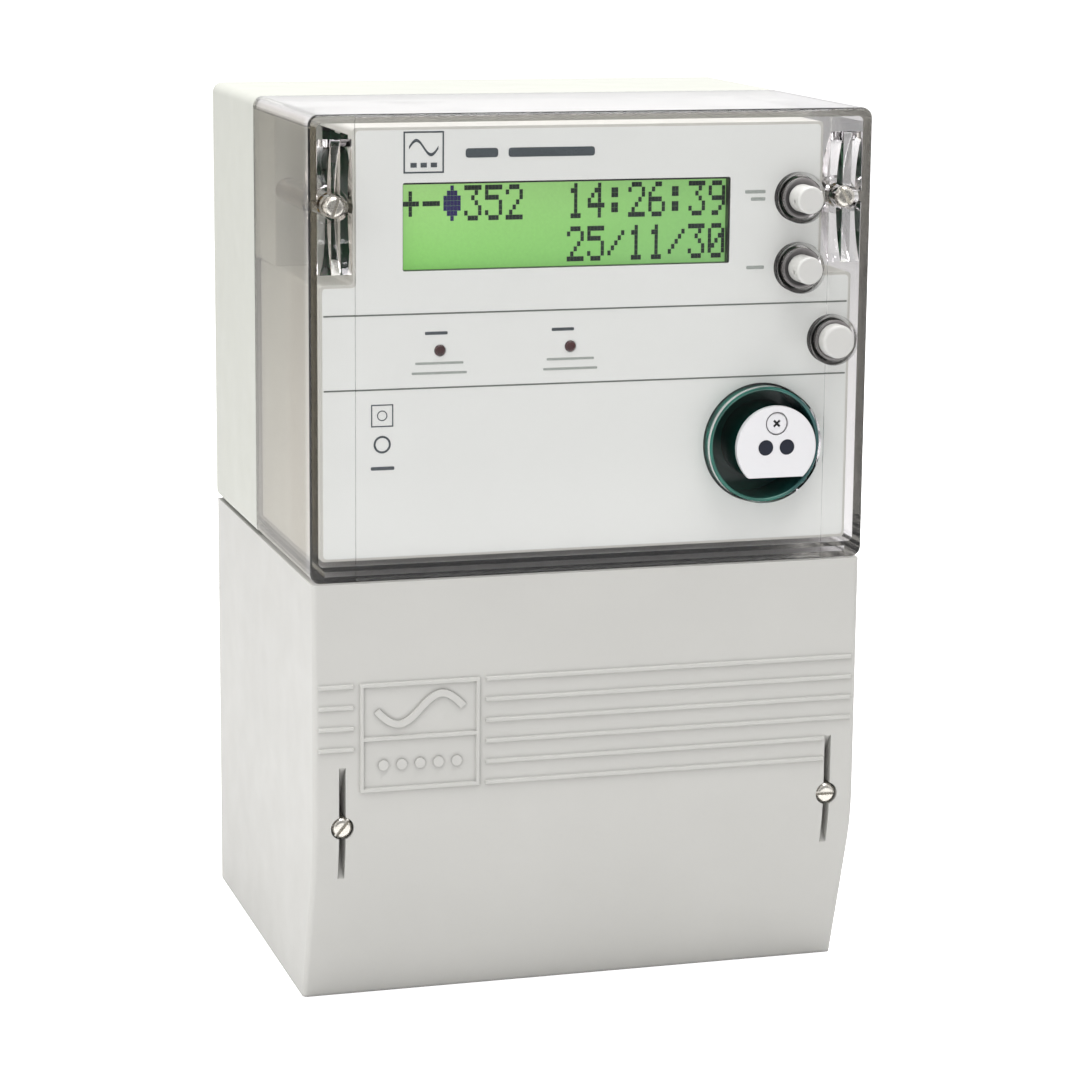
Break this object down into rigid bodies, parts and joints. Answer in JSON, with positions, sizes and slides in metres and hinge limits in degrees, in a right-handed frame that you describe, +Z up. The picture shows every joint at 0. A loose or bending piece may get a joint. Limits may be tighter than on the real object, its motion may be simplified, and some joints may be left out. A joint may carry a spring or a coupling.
{
  "type": "electricity meter",
  "caption": "Wall-mounted three-phase electricity meter: grey housing, clear upper cover over a lit display, buttons and an optical port, and a grey lower terminal cover.",
  "frame": {"origin": "on the wall plane, on the centreline, level with the parting line between the clear cover and the terminal cover", "axes": "+X to the right seen from the front, +Y into the wall, +Z up; the front faces -Y"},
  "size_m": [0.165, 0.1443, 0.257],
  "materials": {
    "housing_plastic": "fine moulded texture",
    "cover_plastic": "fine moulded texture",
    "clear_plastic": "clear polycarbonate",
    "panel_plastic": "smooth",
    "label_film": "printed film",
    "black_rubber": "matt",
    "grey_rubber": "matt",
    "zinc_steel": "zinc plated",
    "nickel_steel": "nickel plated",
    "brass": "turned",
    "copper": "tinned copper",
    "terminal_phenolic": "moulded",
    "green_plastic": "moulded",
    "circuit_board": "solder mask",
    "black_component": "moulded",
    "transformer_tape": "taped winding",
    "toroid_resin": "epoxy",
    "capacitor_sleeve": "shrink sleeve",
    "blue_lacquer": "lacquer",
    "battery_sleeve": "shrink sleeve",
    "wire_insulation": "insulation",
    "ribbon_grey": "ribbon cable",
    "lcd_frame_steel": "black",
    "lcd_glass": "polished",
    "lcd_light": "light box",
    "lamp_lens": "tinted",
    "port_green": "glossy",
    "white_plastic": "satin",
    "infrared_filter": "dark filter",
    "button_plastic": "satin"
  },
  "bodies": {
    "housing": {"base_housing": "housing_plastic", "hanger_plate": "zinc_steel", "hanger_rivets": "zinc_steel", "cover_gasket": "black_rubber", "cover_inserts": "brass", "cover_pillars": "brass", "terminal_block": "terminal_phenolic", "terminal_clamps": "brass", "terminal_screws": "zinc_steel", "current_links": "copper", "current_transformers": "toroid_resin", "voltage_leads": "wire_insulation", "transformer_leads": "wire_insulation", "signal_terminals": "green_plastic", "power_board": "circuit_board", "power_transformer": "transformer_tape", "reservoir_capacitors": "capacitor_sleeve", "surge_arresters": "blue_lacquer", "main_board": "circuit_board", "board_chips": "black_component", "backup_battery": "battery_sleeve", "battery_holder": "black_component", "supercapacitor": "capacitor_sleeve", "board_screws": "zinc_steel", "front_panel": "panel_plastic", "panel_label": "label_film", "display_board": "circuit_board", "display_board_screws": "zinc_steel", "lcd_frame": "lcd_frame_steel", "lcd_glass": "lcd_glass", "lcd_backlight": "lcd_light", "lcd_board": "circuit_board", "pulse_lamps": "lamp_lens", "light_guides": "lamp_lens", "ribbon_cable": "ribbon_grey", "ribbon_sockets": "black_component", "port_well": "port_green", "port_gasket": "black_rubber", "port_head": "white_plastic", "port_windows": "infrared_filter", "infrared_diodes": "infrared_filter", "port_screw": "nickel_steel", "button_switches": "black_component"},
    "clear_cover": {"clear_cover": "clear_plastic", "button_seals": "grey_rubber", "scroll_spring": "nickel_steel", "select_spring": "nickel_steel", "reset_spring": "nickel_steel"},
    "terminal_cover": {"terminal_cover": "cover_plastic", "terminal_screw_rings": "white_plastic"},
    "cover_screw_left": {"cover_screw_left": "nickel_steel"},
    "cover_screw_right": {"cover_screw_right": "nickel_steel"},
    "terminal_screw_left": {"terminal_screw_left": "nickel_steel"},
    "terminal_screw_right": {"terminal_screw_right": "nickel_steel"},
    "scroll_button": {"scroll_button": "button_plastic", "scroll_clip": "zinc_steel"},
    "select_button": {"select_button": "button_plastic", "select_clip": "zinc_steel"},
    "reset_button": {"reset_button": "button_plastic", "reset_clip": "zinc_steel"}
  },
  "joints": [
    {"name": "clear_cover_lift_off", "type": "slide", "parent": "housing", "child": "clear_cover", "axis": [0, -1, 0], "range_m": [0, 0.15]},
    {"name": "terminal_cover_lift_off", "type": "slide", "parent": "housing", "child": "terminal_cover", "axis": [0, -1, 0], "range_m": [0, 0.15]},
    {"name": "cover_screw_left_turn", "type": "hinge", "parent": "clear_cover", "child": "cover_screw_left", "pos_m": [-0.075, -0.131, 0.1055], "axis": [0, 1, 0], "continuous": true},
    {"name": "cover_screw_right_turn", "type": "hinge", "parent": "clear_cover", "child": "cover_screw_right", "pos_m": [0.075, -0.131, 0.1055], "axis": [0, 1, 0], "continuous": true},
    {"name": "terminal_screw_left_turn", "type": "hinge", "parent": "terminal_cover", "child": "terminal_screw_left", "pos_m": [-0.0736, -0.131, -0.0714], "axis": [0, 1, 0], "continuous": true},
    {"name": "terminal_screw_right_turn", "type": "hinge", "parent": "terminal_cover", "child": "terminal_screw_right", "pos_m": [0.0736, -0.131, -0.0714], "axis": [0, 1, 0], "continuous": true},
    {"name": "scroll_press", "type": "slide", "parent": "clear_cover", "child": "scroll_button", "axis": [0, 1, 0], "range_m": [0, 0.0015], "stiffness_N_per_m": 60, "springref_m": -0.001, "deforming": ["scroll_spring"]},
    {"name": "select_press", "type": "slide", "parent": "clear_cover", "child": "select_button", "axis": [0, 1, 0], "range_m": [0, 0.0015], "stiffness_N_per_m": 60, "springref_m": -0.001, "deforming": ["select_spring"]},
    {"name": "reset_press", "type": "slide", "parent": "clear_cover", "child": "reset_button", "axis": [0, 1, 0], "range_m": [0, 0.0015], "stiffness_N_per_m": 60, "springref_m": -0.001, "deforming": ["reset_spring"]}
  ]
}
